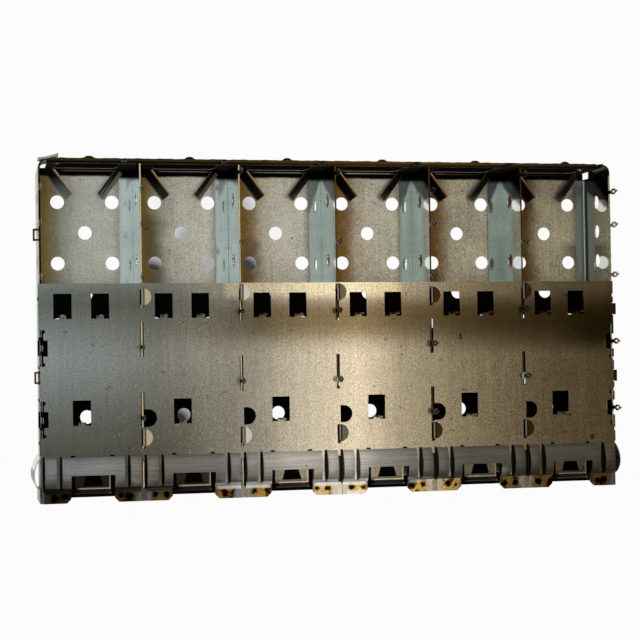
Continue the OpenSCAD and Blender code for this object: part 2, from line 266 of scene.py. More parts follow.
def makeWeld(setup):
    # heat tint beside each divider: bare near it, then gold and brown blots round two dark weld spots
    inputs = [("Vector", "NodeSocketVector", None)]
    group, start, end = newGroup("weldTint", inputs,
        [("Color", "NodeSocketColor"), ("Mask", "NodeSocketFloat")])
    calc = partial(mathNode, group)
    split = group.nodes.new("ShaderNodeSeparateXYZ")
    group.links.new(start["Vector"], split.inputs[0])
    x, y = split.outputs[:2]
    fromMiddle = calc("ABSOLUTE", calc("SUBTRACT", placeInPort(group, x), 0.5))
    off = calc("MULTIPLY", calc("SUBTRACT", 0.5, fromMiddle), pitch / mm)
    blots = noiseNode(group, start["Vector"], setup["blotCells"], detail=3.0, rough=0.6)
    blots = calc("SUBTRACT", blots, 0.5)
    drift = noiseNode(group, start["Vector"], setup["driftCells"], detail=1.0, rough=0.5)
    drift = calc("MULTIPLY", calc("SUBTRACT", drift, 0.5), setup["drift"])
    dy = calc("MULTIPLY_ADD", y, 1 / mm, -setup["row"])
    level = calc("MULTIPLY_ADD", blots, setup["blots"], setup["level"])
    for place in setup["spots"]:
        dx = calc("SUBTRACT", calc("ADD", drift, off), place)
        far = calc("SQRT", calc("ADD", calc("MULTIPLY", dx, dx), calc("MULTIPLY", dy, dy)))
        fade = calc("MULTIPLY_ADD", blots, setup["spotBlots"], calc("MULTIPLY", far, setup["fade"]))
        spot = calc("SUBTRACT", 1.0, fade, clamp=True)
        level = calc("SUBTRACT", level, calc("MULTIPLY", spot, setup["spotDepth"]))
    fall = calc("ABSOLUTE", calc("MULTIPLY_ADD", x, setup["paleFall"], setup["paleShift"]))
    level = calc("MULTIPLY_ADD", calc("SUBTRACT", 1.0, fall, clamp=True), setup["pale"], level)
    group.links.new(rampNode(group, level, setup["colours"]), end["Color"])
    ragged = calc("MULTIPLY_ADD", blots, setup["edgeBlots"], off)
    group.links.new(above(group, ragged, setup["bare"], setup["edgeSlope"]), end["Mask"])
    return group


grainGroup, windowGroup = makeGrain(grainSetup), makeWindow()
facingGroup, weldGroup = makeFacing(), makeWeld(weldSetup)
print("shared effects made")

# millimetres that the stops by X, Y and Z cover, and a span wider than the part
spanX, spanY, spanZ, everywhere = 90, 50, 15, (-60, 60)
axes = {"x": (1, 0, 0), "y": (0, 1, 0), "z": (0, 0, 1)}
# near-black colours, all painted shade: at the rear, inside the bays, in slots and folds, clip windows,
# finger lines
rearShadeBlack, shadow, shadeBlack = (0.004, 0.003, 0.002), (0.006, 0.005, 0.004), (0.003, 0.003, 0.003)
clipBlack, lineBlack = (0.008, 0.007, 0.006), "0c0a08"
# painted shade in dark brown on the loops and flange outside the right wall, and the dark brown of the left
# wall's cut top
loopShadeBrown, cutBrown = "2c2414", "1c160c"
# the base plate's top, the floor inside the bays and the two side walls' inner faces, in millimetres
plateTop, bayFloor, betweenWalls = (10, 12), (1.2, 1.5), (-42.4, 42.4)
# the two clip windows at the plate's left edge, by Y
clipWindows = ((-3.45, -0.95), (-13.9, -11.4))
# shadow line at the left of every finger, by place in the port, and its strength by X
linePlaces = ((0.009, 0.013, 0.03, 0.035), (0.176, 0.181, 0.198, 0.203), (0.843, 0.848, 0.865, 0.87))
lineStops = [stop for places in linePlaces for stop in between(*places)]
lineAcross = [(0, 1.0), (5, 0.6), (12, 0.9), (45, 1.0)]


class Metal:
    # a plated sheet material under construction: colour and roughness are built up in steps
    def __init__(self, name, rough, stops, crosswise=False):
        self.material = bpy.data.materials.new(name)
        self.material.use_nodes = True
        self.tree = tree = self.material.node_tree
        self.calc, self.above = partial(mathNode, tree), partial(above, tree)
        tree.nodes.clear()
        self.shader = tree.nodes.new("ShaderNodeBsdfPrincipled")
        output = tree.nodes.new("ShaderNodeOutputMaterial")
        tree.links.new(self.shader.outputs[0], output.inputs[0])
        self.vector = tree.nodes.new("ShaderNodeTexCoord").outputs["Object"]
        split = tree.nodes.new("ShaderNodeSeparateXYZ")
        tree.links.new(self.vector, split.inputs[0])
        self.x, self.y, self.z = split.outputs
        along = self.vector
        if crosswise:
            # the grain runs along X
            swap = tree.nodes.new("ShaderNodeCombineXYZ")
            for socket, axis in zip(swap.inputs, (self.y, self.x, self.z)):
                tree.links.new(axis, socket)
            along = swap.outputs[0]
        self.grain = useGroup(tree, grainGroup, Vector=along)
        self.normal = tree.nodes.new("ShaderNodeNewGeometry").outputs["True Normal"]
        self.colour = self.across(stops)
        self.rough = rough
        self.metal = 1.0
        self.bumps = 1.0

    def across(self, stops):
        # colour stops given by X in millimetres, wavering a little with the clouds
        place = self.calc("MULTIPLY_ADD", self.x, 1 / (spanX * mm), 0.5)
        place = self.calc("ADD", place, self.wander(0.05), clamp=True)
        return rampNode(self.tree, place, [(x / spanX + 0.5, colour) for x, colour in stops])

    def along(self, stops):
        # the same by Y in millimetres, straight
        place = self.calc("MULTIPLY_ADD", self.y, 1 / (spanY * mm), 0.5, clamp=True)
        return rampNode(self.tree, place, [(y / spanY + 0.5, value) for y, value in stops])

    def up(self, stops):
        # the same by Z in millimetres
        place = self.calc("MULTIPLY", self.z, 1 / (spanZ * mm), clamp=True)
        return rampNode(self.tree, place, [(z / spanZ, value) for z, value in stops])

    def inPort(self, stops):
        # level stops given by the place inside a port
        return rampNode(self.tree, self.port(), stops)

    def wander(self, size):
        # a slow swing about nothing, from the clouds
        return self.calc("MULTIPLY", self.calc("SUBTRACT", self.grain["Clouds"], 0.5), size)

    def rearShade(self, start, slope):
        # darkness that comes down an upright wall toward the rear, further forward the higher up
        foot, waver, soft = 1.4 * mm, 1.6 * mm, 0.7 * mm
        lift = self.calc("MULTIPLY", self.calc("SUBTRACT", self.z, foot), slope)
        reach = self.calc("ADD", self.calc("ADD", self.y, lift), self.wander(waver))
        return self.times(self.above(reach, start * mm, 1 / soft), self.facing("y", "LESS_THAN", 0.5))

    def zone(self, soft, x=everywhere, y=everywhere, z=everywhere, waver=0.0):
        # one inside spans in millimetres, fading over the soft distance; waver stirs its edges
        place = self.vector
        if waver:
            place = vectorMath(self.tree, "ADD", place, self.wander(waver * mm))[0]
        low, high = ([value * mm for value in side] for side in zip(x, y, z))
        return useGroup(self.tree, windowGroup, Vector=place, Low=low, High=high, Soft=soft * mm)["Mask"]

    def facing(self, axis, test, limit, part="Signed"):
        # faces chosen by how far their normal follows an axis
        found = useGroup(self.tree, facingGroup, Normal=self.normal, Axis=axes[axis])
        return self.calc(test, found[part], limit)

    def port(self):
        return placeInPort(self.tree, self.x)

    def paint(self, colour, *masks, strength=None, mode="MIX"):
        # lays a colour where all the masks meet, fully unless a strength is given
        if strength is not None:
            masks += (strength,)
        self.colour = mixColour(self.tree, self.times(*masks), self.colour, colour, mode)

    def under(self, front=-22.8, soft=0.3):
        # inside the bays under the base plate, from a front line back
        inside = self.zone(x=(-42.52, 42.52), z=(1.3, 10.66), soft=0.03)
        return self.times(inside, self.zone(y=(front, 30), soft=soft), self.zone(y=(-60, 5.9), soft=0.3))

    def notches(self):
        # the left wall's cut top beside the two clip windows
        rear, front = (self.zone(x=(-43.8, -42.3), y=y, z=(7.6, 12), soft=0.05) for y in clipWindows)
        return self.calc("MAXIMUM", rear, front)

    def times(self, *masks):
        total = masks[0]
        for mask in masks[1:]:
            total = self.calc("MULTIPLY", total, mask)
        return total

    def mottle(self, streak, speck, cloud, nick, gain=1.0):
        # lighter and darker marks of the grain, each kind by its own strength
        swing = 0.0
        for name, size in (("Streaks", streak), ("Specks", speck), ("Clouds", cloud)):
            mark = self.calc("SUBTRACT", self.grain[name], 0.5)
            swing = self.calc("ADD", swing, self.calc("MULTIPLY", mark, size))
        swing = self.calc("SUBTRACT", swing, self.calc("MULTIPLY", self.grain["Nicks"], nick))
        level = self.calc("MULTIPLY_ADD", swing, gain, 1.0)
        join = self.tree.nodes.new("ShaderNodeCombineColor")
        for socket in join.inputs:
            self.tree.links.new(level, socket)
        self.paint(join.outputs[0], strength=1.0, mode="MULTIPLY")

    def roughen(self, mask, size):
        self.rough = self.calc("ADD", self.rough, self.calc("MULTIPLY", mask, size))

    def finish(self, roughSwing, bump):
        # bump is the strength of the grain's relief
        relief, specks = 0.004 * mm, 0.6
        feed(self.tree, self.shader.inputs["Base Color"], self.colour)
        feed(self.tree, self.shader.inputs["Metallic"], self.metal)
        rough = self.calc("ADD", self.rough, self.wander(roughSwing), clamp=True)
        feed(self.tree, self.shader.inputs["Roughness"], rough)
        height = self.calc("MULTIPLY_ADD", self.grain["Specks"], specks, self.grain["Streaks"])
        node = self.tree.nodes.new("ShaderNodeBump")
        node.inputs["Strength"].default_value = bump
        node.inputs["Distance"].default_value = relief
        feed(self.tree, node.inputs["Height"], self.calc("MULTIPLY", height, self.bumps))
        self.tree.links.new(node.outputs[0], self.shader.inputs["Normal"])
        return self.material


# tones and strengths of the base plate along X and Y
plateStops = {
    # base tones across X: a painted highlight of the lamp strip round the middle; darker brown to the right,
    # part tarnish, part painted shade
    "base": [(-45, "b9c0bf"), (-33, "abb0ac"), (-26, "a09f96"), (-20, "b0ada2"), (-16, "aaa69b"),
        (-12, "afa99c"), (-8, "c4bdac"), (-4, "cfc6b4"), (0, "d8ceba"), (3, "e2d6c0"), (6, "c9bfa9"),
        (10, "aea490"), (19, "a99d82"), (24, "a8997c"), (45, "97835c")],
    "bandAlong": [(-3.8, 0.0), (-2.2, 0.34), (-0.9, 0.76), (0.3, 0.95), (1.6, 1.0), (2.8, 0.93),
        (3.9, 0.6), (4.6, 0.25), (5.3, 0.05), (6.5, 0.0)],
    "bandAcross": [(-45, 0.0), (-24, 0.25), (-12, 0.95), (45, 1.0)],
    "rightAlong": [(-4.6, 0.0), (-3.2, 0.6), (-2.0, 1.0), (0.5, 0.7), (2.5, 0.25), (4.6, 0.15),
        (6.4, 0.1)],
    "rightAcross": [(12, 0.0), (20, 0.4), (33, 0.5), (39, 1.0), (45, 1.0)],
    "leftAcross": [(-45, 1.0), (-28, 0.9), (-20, 0.3), (-13, 0.0)],
    "leftAlong": [(-3.0, 0.0), (-0.6, 0.25), (1.7, 0.65), (3.4, 1.0), (5.0, 0.9), (6.5, 0.5)],
    "frontDarkAlong": [(-19.5, 1.0), (-16.9, 0.9), (-14.0, 0.74), (-12.0, 0.6), (-9.9, 0.42), (-7.6, 0.2),
        (-5.0, 0.0)],
    "frontDarkAcross": [(-45, 1.0), (-30, 0.95), (-22, 0.75), (-15, 0.22), (-8, 0.0)],
    "mottle": [(-45, 0.8), (-20, 1.1), (0, 1.1), (20, 1.4), (45, 1.9)],
    "panelShade": [(-45, 0.96), (-17, 0.9), (-10, 0.45), (5, 0.6), (30, 0.4), (45, 0.3)],
}


def plateFinish(stops):
    m = Metal("plate_finish", rough=0.22, stops=stops["base"])
    # painted highlight: a soft light patch on the plate behind the middle
    m.paint("fff4dc", m.zone(x=(-16, 9), y=(4.9, 8), z=(5, 12), soft=1.0, waver=0.8), mode="SOFT_LIGHT")
    # a darker band behind the middle, deeper toward the right
    m.paint("988a6e", m.along(stops["bandAlong"]), m.across(stops["bandAcross"]), mode="MULTIPLY")
    m.paint("93846a", m.along(stops["rightAlong"]), m.across(stops["rightAcross"]), mode="MULTIPLY")
    # the left end is darker by the rear edge and toward the front
    m.paint("bcbdb4", m.across(stops["leftAcross"]), m.along(stops["leftAlong"]), mode="MULTIPLY")
    m.paint("918b78", m.along(stops["frontDarkAlong"]), m.across(stops["frontDarkAcross"]), mode="MULTIPLY")
    m.mottle(streak=0.5, speck=1.7, cloud=0.2, nick=0.8, gain=m.across(stops["mottle"]))
    # scratches at the left front and the right, and one dark nick
    worn = m.zone(x=(-32, -15), y=(-18, -8), z=plateTop, soft=1.5, waver=3.0)
    m.paint("f2ead8", m.grain["Scratches"], worn, strength=0.42)
    worn = m.zone(x=(29, 43), y=(-14, -9.5), z=plateTop, soft=1.0, waver=2.0)
    m.paint("e8d4a4", m.grain["Scratches"], worn, strength=0.5)
    m.paint((0.05, 0.04, 0.03), m.zone(x=(18.55, 18.85), y=(-1.95, -1.1), z=plateTop, soft=0.12, waver=0.6))
    # latch panels under the fingers: painted shade, deeper toward the front, painted highlights on the pale
    # fold before the front slot and on the right rim, and the front slot painted black as shade
    panel = m.times(m.zone(y=(-24, -20.4), z=plateTop, soft=0.15),
        m.inPort(between(0.29, 0.305, 0.695, 0.71)))
    m.paint("2c2314", panel, m.across(stops["panelShade"]))
    m.paint("1a150d", panel, m.along([(-22.2, 1.0), (-21.7, 0.0)]), strength=0.8)
    fold = m.times(panel, m.along(between(-22.75, -22.6, -22.3, -22.15)))
    m.paint("e6dcc4", fold, m.inPort([(0.34, 0.0), (0.38, 1.0)]))
    m.paint("d8ceb4", panel, m.inPort(between(0.655, 0.665, 0.69, 0.7)), strength=0.6)
    m.paint("0a0806", m.zone(y=(-26, -22.95), z=(9, 12), soft=0.1),
        m.inPort(between(0.27, 0.28, 0.72, 0.73)))
    # painted shade: the left wall's cut top and outer face beside the clip windows in black, like the
    # windows' dark
    m.paint(clipBlack, m.notches())
    # painted shade: the loops and flange outside the right wall in dark brown
    m.paint(loopShadeBrown, m.zone(x=(43.05, 46), y=(-16, 30), z=(8, 11), soft=0.03))
    lines = m.times(m.zone(y=(-22.6, -17.75), z=(10.5, 11.2), soft=0.08), m.inPort(lineStops),
        m.across(lineAcross))
    m.paint(lineBlack, lines, strength=0.95)
    m.roughen(lines, 0.4)
    # painted shade: the plate's sideways cut faces darkened, more so toward the right
    cut = m.facing("z", "LESS_THAN", 0.4, part="Size")
    m.paint(m.across([(-45, "7a7462"), (0, "5a5140"), (45, "2e2718")]), cut, strength=0.85)
    return m.finish(roughSwing=0.06, bump=0.08)


# dark spots on the cover's floor, spans by X and Y
darkSpots = (((-25.9, -24.6), (11.5, 16.5)), ((-25.3, -25.1), (7.4, 8.4)),
    ((-10.8, -10.6), (8.2, 12.4)), ((39.8, 41.2), (10, 12.2)))
# tones and strengths of the cover by X, the left wall by Z
coverStops = {
    "base": [(-45, "e4e6df"), (0, "ece6d6"), (20, "ddd4be"), (45, "c9bea2")],
    "leftShadeTone": [(-45, "b7b5ab"), (-20, "aaa38e"), (0, "c0a47c"), (45, "c2b08e")],
    "stainTone": [(-45, "8d7a3e"), (-22, "8b7434"), (-5, "946a34"), (10, "8a6132"), (45, "5a4524")],
    "mottle": [(-45, 0.8), (-28, 1.0), (-20, 1.5), (45, 1.9)],
    "leftWall": [(0.0, "c9c9bc"), (7.0, "c0c0b2"), (9.6, "8f8460"), (10.4, "4e421f"), (10.7, cutBrown),
        (15.0, cutBrown)],
    "rearEdgeGlint": [(-45, "77756c"), (-10, "a79a80"), (3, "ffe8c8"), (15, "a89470"), (25, "3a2c18"),
        (45, "3a2c18")],
}


def coverFinish(stops):
    m = Metal("cover_finish", rough=0.42, stops=stops["base"])
    inside = m.zone(x=betweenWalls, y=(-24, 23.6), z=(1, 1.5), soft=0.1)
    # painted shade over the left part of every port, next to its left divider
    leftShade = m.inPort([(0.2, 1.0), (0.42, 0.25), (0.55, 0.0)])
    m.paint(m.across(stops["leftShadeTone"]), inside, leftShade, strength=0.9, mode="MULTIPLY")
    # painted shade in brown beside each divider, wider toward the right ports
    width, growth, ragged = 0.14, 2.83, 0.12
    shadeEnd = m.calc("MULTIPLY_ADD", m.x, growth, width)
    place = m.calc("ADD", m.calc("SUBTRACT", m.port(), shadeEnd), m.wander(ragged))
    warm = rampNode(m.tree, place, [(0.05, 1.0), (0.11, 0.7), (0.22, 0.0)])
    m.paint(m.across(stops["stainTone"]), inside, warm, strength=0.95)
    # dark speckled spots on the floor of ports 2, 3 and 6
    blots = m.above(m.grain["Specks"], start=0.5, slope=5.0)
    for x, y in darkSpots:
        m.paint("2c2820", inside, m.zone(x=x, y=y, z=(1, 2), soft=1.7, waver=6.0),
            m.calc("MULTIPLY_ADD", blots, 0.5, 0.35))
    m.mottle(streak=0.45, speck=1.6, cloud=0.7, nick=0.9, gain=m.across(stops["mottle"]))
    # painted light by the right wall: a blue-grey painted shade strip on the floor, a painted highlight line
    # at the fold, the wall's face in a lit blue-grey, and a painted dark line of shade up its foot
    m.paint("b4bcb4", inside, m.zone(x=(41.0, 44), y=(-24, 23), z=(1, 2), soft=0.12, waver=0.5))
    m.paint("ffffff", m.zone(x=(42.3, 42.5), y=(-24, 23), z=bayFloor, soft=0.03))
    wall = m.times(m.zone(x=(42.2, 43), z=(1.6, 14), soft=0.05), m.facing("x", "LESS_THAN", -0.5))
    m.paint("c4c8b8", wall)
    m.roughen(wall, -0.37)
    m.bumps = m.calc("MULTIPLY_ADD", wall, -0.9, 1.0)
    m.paint((0.015, 0.015, 0.012), wall, m.up([(2.35, 1.0), (2.7, 0.0)]))
    # painted shade coming down the right wall toward the rear
    m.paint(rearShadeBlack, wall, m.rearShade(start=21.0, slope=0.42))
    # left wall: grey below, stained above, dark at its cut top
    outer = m.zone(x=(-44, -42.6), z=(1.0, 14), soft=0.05)
    m.paint(m.up(stops["leftWall"]), outer)
    m.paint(cutBrown, m.zone(x=(-43.2, -42.42), y=(5.0, 30), z=(10.75, 12), soft=0.03))
    # painted shade: the upward faces by the rear edge dark, standing in for the dark room they reflect
    capped = m.times(m.zone(y=(22.6, 26), z=(10.4, 14), soft=0.1), m.facing("z", "GREATER_THAN", 0.5))
    m.paint("2a2418", capped)
    # painted shadow on the floor along the rear wall
    m.paint(rearShadeBlack, m.zone(x=betweenWalls, y=(22.95, 24), z=(1, 1.5), soft=0.25, waver=0.5))
    # painted highlight: a light line along the floor's rear edge, brightest in the middle ports
    m.paint(m.across(stops["rearEdgeGlint"]), m.zone(x=betweenWalls, y=(23.58, 23.7), z=bayFloor, soft=0.04),
        m.inPort(between(0.25, 0.3, 0.8, 0.85)))
    # painted shade: the left wall's cut top and outer face beside the clip windows in black, like the
    # windows' dark
    m.paint(clipBlack, m.notches())
    # painted shade: the loops and flange outside the right wall in dark brown
    m.paint(loopShadeBrown, m.zone(x=(43.05, 46), y=(-16, 20), z=(8, 11), soft=0.03))
    # painted shadow inside the bays: the floor from its front edge, the walls after their first millimetres,
    # the sill
    lying = m.facing("z", "GREATER_THAN", 0.5, part="Size")
    m.paint(shadow, m.under(), lying)
    m.paint(shadow, m.under(front=-19.0, soft=1.2))
    sill = m.times(m.zone(x=betweenWalls, y=(-24.4, -21.5), z=bayFloor, soft=0.05),
        m.facing("z", "GREATER_THAN", 0.5))
    m.paint(shadow, sill)
    return m.finish(roughSwing=0.1, bump=0.2)


# tones and strengths of the dividers by X, the foot by place in the port; edge is the board edge's painted
# light, cream highlight to the left, dark to the right
dividerStops = {
    "base": [(-45, "eefaf8"), (-15, "e8f2ef"), (8, "dbe4dd"), (45, "c4cec6")],
    "edge": [(-45, "fff6d2"), (-24, "f6e4b4"), (-12, "f4e6c0"), (-5, "6a5834"), (6, "5a4628"),
        (45, "43351f")],
    "rearSlope": [(-45, 0.0), (-22, 0.12), (-8, 0.36), (5, 0.5), (45, 0.5)],
    "foot": [(0.84, 0.0), (0.845, 1.0), (0.868, 0.55), (0.885, 0.0)],
    "tabFlat": [(-45, "d6c296"), (-24, "ecdcb4"), (-18, "fffaea"), (-9, "fffaea"), (-4, "8a8270"),
        (2, "8a8270"), (8, "5a3d18"), (45, "3c2c14")],
}


def dividerFinish(stops):
    m = Metal("divider_finish", rough=0.09, stops=stops["base"])
    # the right faces are painted brown as painted shade, turned away from the cool left light
    m.paint("8a6d3c", m.facing("x", "GREATER_THAN", 0.5))
    m.mottle(streak=0.3, speck=0.9, cloud=0.6, nick=0.9, gain=m.across([(-45, 0.8), (0, 1.1), (45, 1.5)]))
    # painted shade coming down the dividers toward the rear
    m.paint(rearShadeBlack, m.rearShade(start=22.2, slope=m.across(stops["rearSlope"])))
    m.paint(shadow, m.zone(y=(23.0, 26), z=(1, 12), soft=0.3), m.facing("y", "LESS_THAN", 0.5))
    # painted reflection: a pale ragged band at the foot's left edge, blurred into the floor
    foot = m.times(m.zone(z=(1, 1.75), soft=0.02), m.inPort(stops["foot"]))
    m.paint(m.across([(-45, "d6d8d0"), (0, "cfc6b2"), (45, "b0a486")]), foot,
        m.calc("MULTIPLY_ADD", m.wander(5.0), 1.0, 0.6, clamp=True))
    # painted shadow on the dividers inside the bays under the base plate
    m.paint((0.012, 0.011, 0.01), m.under(front=-19.0, soft=1.2))
    # top edges: a painted highlight in cream on the left dividers, painted shade on the right ones, one
    # bright painted highlight on the second divider
    top = m.times(m.zone(z=(10.4, 14), soft=0.2), m.facing("x", "LESS_THAN", 0.5, part="Size"))
    m.paint(m.across(stops["edge"]), top)
    m.paint("fff6e0", top, m.zone(x=(-14.6, -13.9), y=(-22.0, -17), z=(10.4, 14), soft=0.05))
    m.roughen(top, 0.3)
    # pins are dull and dark
    m.paint(m.across([(-45, "4a4636"), (45, "3a3222")]), m.zone(z=(11.2, 15), soft=0.1), strength=0.9)
    # folded tabs: the slot on the left painted black as shade, a grey bend, a dark line of painted shade at
    # the fold, then the flat in its own tone, white by the second divider partly as a painted highlight
    tab = m.zone(y=(-30, 10), z=(10.93, 11.25), soft=0.02)
    flat = m.inPort(between(0.025, 0.032, 0.2, 0.21))
    m.paint(m.across(stops["tabFlat"]), tab, flat)
    m.paint(m.across([(-45, "b4b6b0"), (45, "9a9686")]), tab, m.inPort([(0.012, 1.0), (0.016, 0.0)]))
    m.paint(shadeBlack, tab, m.inPort(between(0.97, 0.978, 0.999, 1.0)))
    m.paint(shadeBlack, tab, m.inPort(between(0.015, 0.019, 0.026, 0.031)))
    return m.finish(roughSwing=0.04, bump=0.05)


# tones and strengths of the rear wall by X, the spring tips by Y
rearStops = {
    "lip": [(-45, "0f0b07"), (-15, "1a120a"), (5, "3e2c10"), (20, "30210e"), (45, "1c130a")],
    "lipOuter": [(-45, "4e4220"), (-15, "4c3e20"), (5, "5c451c"), (20, "6a5028"), (45, "4c3c20")],
    "lipInner": [(-45, "a2a092"), (-10, "a89c8a"), (3, "c8b8a0"), (14, "6a5028"), (45, "4c381c")],
    "tip": [(19.6, 1.0), (20.6, 0.8), (21.6, 0.3), (22.6, 0.0)],
    "tipTone": [(-45, "e4f4f6"), (-32, "c4d4d4"), (-26, "6c7470"), (-18, "4c504a"), (5, "2c2a22"),
        (45, "1c1812")],
    "leftPorts": [(-45, 1.0), (-12, 1.0), (-2, 0.0), (45, 0.0)],
    "upperTone": [(-45, "dcb880"), (-15, "d0a868"), (10, "c89c58"), (45, "6a4c24")],
    "rightPorts": [(-45, 0.0), (0, 0.0), (12, 1.0), (45, 1.0)],
}


def rearFinish(stops):
    # the rear plate's base is near black: painted shade, standing in for the dark room its faces reflect
    m = Metal("rear_finish", rough=0.3, stops=[(-45, "15110b"), (45, "120c06")])
    m.paint("a39d90", m.zone(y=(23.93, 24.2), z=(1, 10.5), soft=0.01))
    # rear lip: near black as painted shade, fading to brown and grey-green at its outer edge, with painted
    # highlight lines at its pale inner edge and near its outer edge
    lip = m.zone(y=(23.2, 26), z=(10.66, 11.5), soft=0.02)
    m.paint(m.across(stops["lip"]), lip)
    m.paint(m.across(stops["lipOuter"]), lip, m.along([(23.9, 0.0), (24.05, 1.0), (24.9, 1.0)]))
    m.paint(m.across(stops["lipInner"]), lip, m.along([(23.4, 1.0), (23.59, 1.0), (23.62, 0.0)]))
    m.paint(m.across([(-45, "9c987c"), (5, "a08c5c"), (45, "90866c")]), lip,
        m.along(between(24.22, 24.3, 24.34, 24.38)))
    m.paint("1a1409", lip, m.along([(24.36, 0.0), (24.4, 1.0), (24.9, 1.0)]))
    # painted highlight on the corner tab's top edge
    sprung = m.zone(x=(-43.2, -39.5), y=(24.0, 26), z=(8.0, 11.2), soft=0.02)
    m.paint("c8c2b4", sprung, m.zone(x=(-43.2, -39.5), y=(24.0, 26), z=(10.98, 11.2), soft=0.02))
    # kick-out springs, all painted light: black as painted shade by the root, a blue-grey painted reflection
    # toward the tip on the left ports, painted highlights along the upper edges
    blade = m.zone(y=(18, 23.65), z=(1.4, 3.2), soft=0.02)
    m.paint(lineBlack, blade)
    m.paint(m.across(stops["tipTone"]), blade, m.along(stops["tip"]))
    # right blades: a pale painted reflection low down on the left ports under a dark line of painted shade,
    # dark upper edges, and a gold painted highlight low down on the right ports
    rightOne = m.calc("GREATER_THAN", m.port(), 0.5)
    low = m.up([(2.42, 1.0), (2.48, 0.0)])
    m.paint(m.across([(-45, "d8d2bc"), (-10, "aca082")]), blade, rightOne, low,
        m.across(stops["leftPorts"]))
    line = m.up(between(2.4, 2.45, 2.55, 2.6))
    m.paint(shadeBlack, blade, rightOne, line)
    upper = m.times(blade, m.up([(2.82, 0.0), (2.85, 1.0)]))
    leftOne = m.calc("SUBTRACT", 1.0, rightOne)
    m.paint(m.across(stops["upperTone"]), upper, leftOne)
    m.paint("1c1a14", upper, rightOne)
    lower = m.times(blade, rightOne, m.up([(1.9, 1.0), (1.96, 0.0)]))
    m.paint("b08a4c", lower, m.across(stops["rightPorts"]))
    m.mottle(streak=0.3, speck=0.9, cloud=0.5, nick=0.5)
    # the inner face, near black as painted shade, is made rough and less metallic so it gives back nothing
    # at a glancing view
    inner = m.times(m.zone(y=(23.0, 24.1), z=(1.3, 10.62), soft=0.03), m.facing("y", "LESS_THAN", -0.5))
    m.roughen(inner, 0.6)
    m.metal = m.calc("MULTIPLY_ADD", m.calc("MAXIMUM", blade, inner), -0.6, 1.0)
    return m.finish(roughSwing=0.1, bump=0.2)


# tones and strengths of the contact springs by X
springStops = {
    # the base tones are lighter round the middle ports, partly a painted highlight of the lamp strip
    "base": [(-45, "9c9da2"), (-34, "a4a5a8"), (-29, "98958e"), (-24, "948f86"), (-18, "9a9894"),
        (-13, "bab6b0"), (-8, "eee8de"), (-2, "e4dcd0"), (2.5, "fffaf2"), (6, "c8c2b8"), (12, "9a958b"),
        (20, "7c766a"), (45, "6a6356")],
    "weldTone": [(-45, "3a3024"), (-34, "4c402e"), (-30, "6a5e48"), (-24, "786c50"), (-17, "a89a70"),
        (-12, "c4b68c"), (-10, "e0d8bc"), (-7, "ffffff"), (8, "fff6e4"), (17, "e8dcc0"), (24, "9c8a6c"),
        (45, "8a765a")],
    "tabTone": [(-45, "38342c"), (-32, "3a362e"), (-29.3, "76767a"), (-27.5, "76767a"), (-26, "46423a"),
        (-20, "4c4840"), (-15.5, "8e8e94"), (-12.5, "9a9aa0"), (-10, "e8e8ea"), (15, "c8c4bc"),
        (45, "8a8476")],
    "foot": [(-45, 0.0), (-29, 0.2), (-18, 0.9), (4, 1.0), (10, 0.4), (15, 0.0)],
    "burntFoot": [(-45, 1.0), (-24, 1.0), (-18, 0.35), (-15, 0.0), (45, 0.0)],
}


def springFinish(stops):
    m = Metal("spring_finish", rough=0.5, stops=stops["base"], crosswise=True)
    m.mottle(streak=1.5, speck=1.0, cloud=0.45, nick=0.6)
    # a painted highlight on the crown in places, darker at the front ends, and the left sides painted black
    # as shade
    shine = m.times(m.zone(y=(-22.6, -21.2), z=(11.5, 13), soft=0.5, waver=1.0),
        m.above(m.grain["Clouds"], start=0.52, slope=6.0))
    m.paint("f4f2ee", shine, strength=0.8)
    m.paint((0.42, 0.39, 0.34), m.zone(y=(-23.2, -20.6), z=(10, 11.6), soft=0.4), mode="MULTIPLY")
    left = m.facing("x", "LESS_THAN", -0.6)
    m.paint((0.004, 0.004, 0.004), left, m.zone(y=(-24, -10), z=(9, 14), soft=0.1))
    lines = m.times(m.zone(x=(-42.7, 60), y=(-22.45, -17.8), z=(11, 13), soft=0.08), m.inPort(lineStops),
        m.across(lineAcross))
    m.paint(lineBlack, lines, strength=0.9)
    m.roughen(lines, 0.3)
    # side fingers painted near white as a painted highlight, grey along the crown
    side = m.zone(x=(-46, -42.8), y=(-22.3, -17), z=(0, 11), soft=0.1)
    m.paint("fafafc", side)
    m.paint("a6a6b2", side, m.zone(x=(-46, -43.78), y=(-24, -16), z=(0, 12), soft=0.05))
    # weld tabs: each port's own tone, lighter in the middle ports partly as a painted highlight, then heat
    # tint over it, a painted highlight streaked across the foot, burnt at the left
    weld = useGroup(m.tree, weldGroup, Vector=m.vector)
    burnt = mixColour(m.tree, 1.0, weld["Color"], m.across(stops["weldTone"]), "MULTIPLY")
    welded = m.zone(x=(-45, 45), y=(-26, -22.5), z=(10.9, 12.5), soft=0.15)
    m.paint(m.across(stops["tabTone"]), welded)
    m.paint(burnt, weld["Mask"], welded)
    m.roughen(welded, -0.24)
    foot = m.times(m.zone(y=(-22.75, -22.1), z=(10.9, 12.4), soft=0.25), m.grain["Streaks"],
        m.across(stops["foot"]))
    m.paint("fffdf8", m.calc("MULTIPLY", foot, 1.6, clamp=True))
    burntFoot = m.times(m.zone(y=(-22.8, -22.15), z=(10.8, 12.2), soft=0.25), m.across(stops["burntFoot"]))
    m.paint("14110c", burntFoot, strength=0.9)
    # dark burn along the outer ends of every tab
    m.paint("20140c", welded, m.inPort(between(0.255, 0.285, 0.715, 0.745)), strength=0.8)
    return m.finish(roughSwing=0.12, bump=0.25)


materials = {
    "base_plate": plateFinish(plateStops),
    "cover": coverFinish(coverStops),
    "divider": dividerFinish(dividerStops),
    "rear_plate": rearFinish(rearStops),
    "contact_spring": springFinish(springStops),
}
print("finishes made")


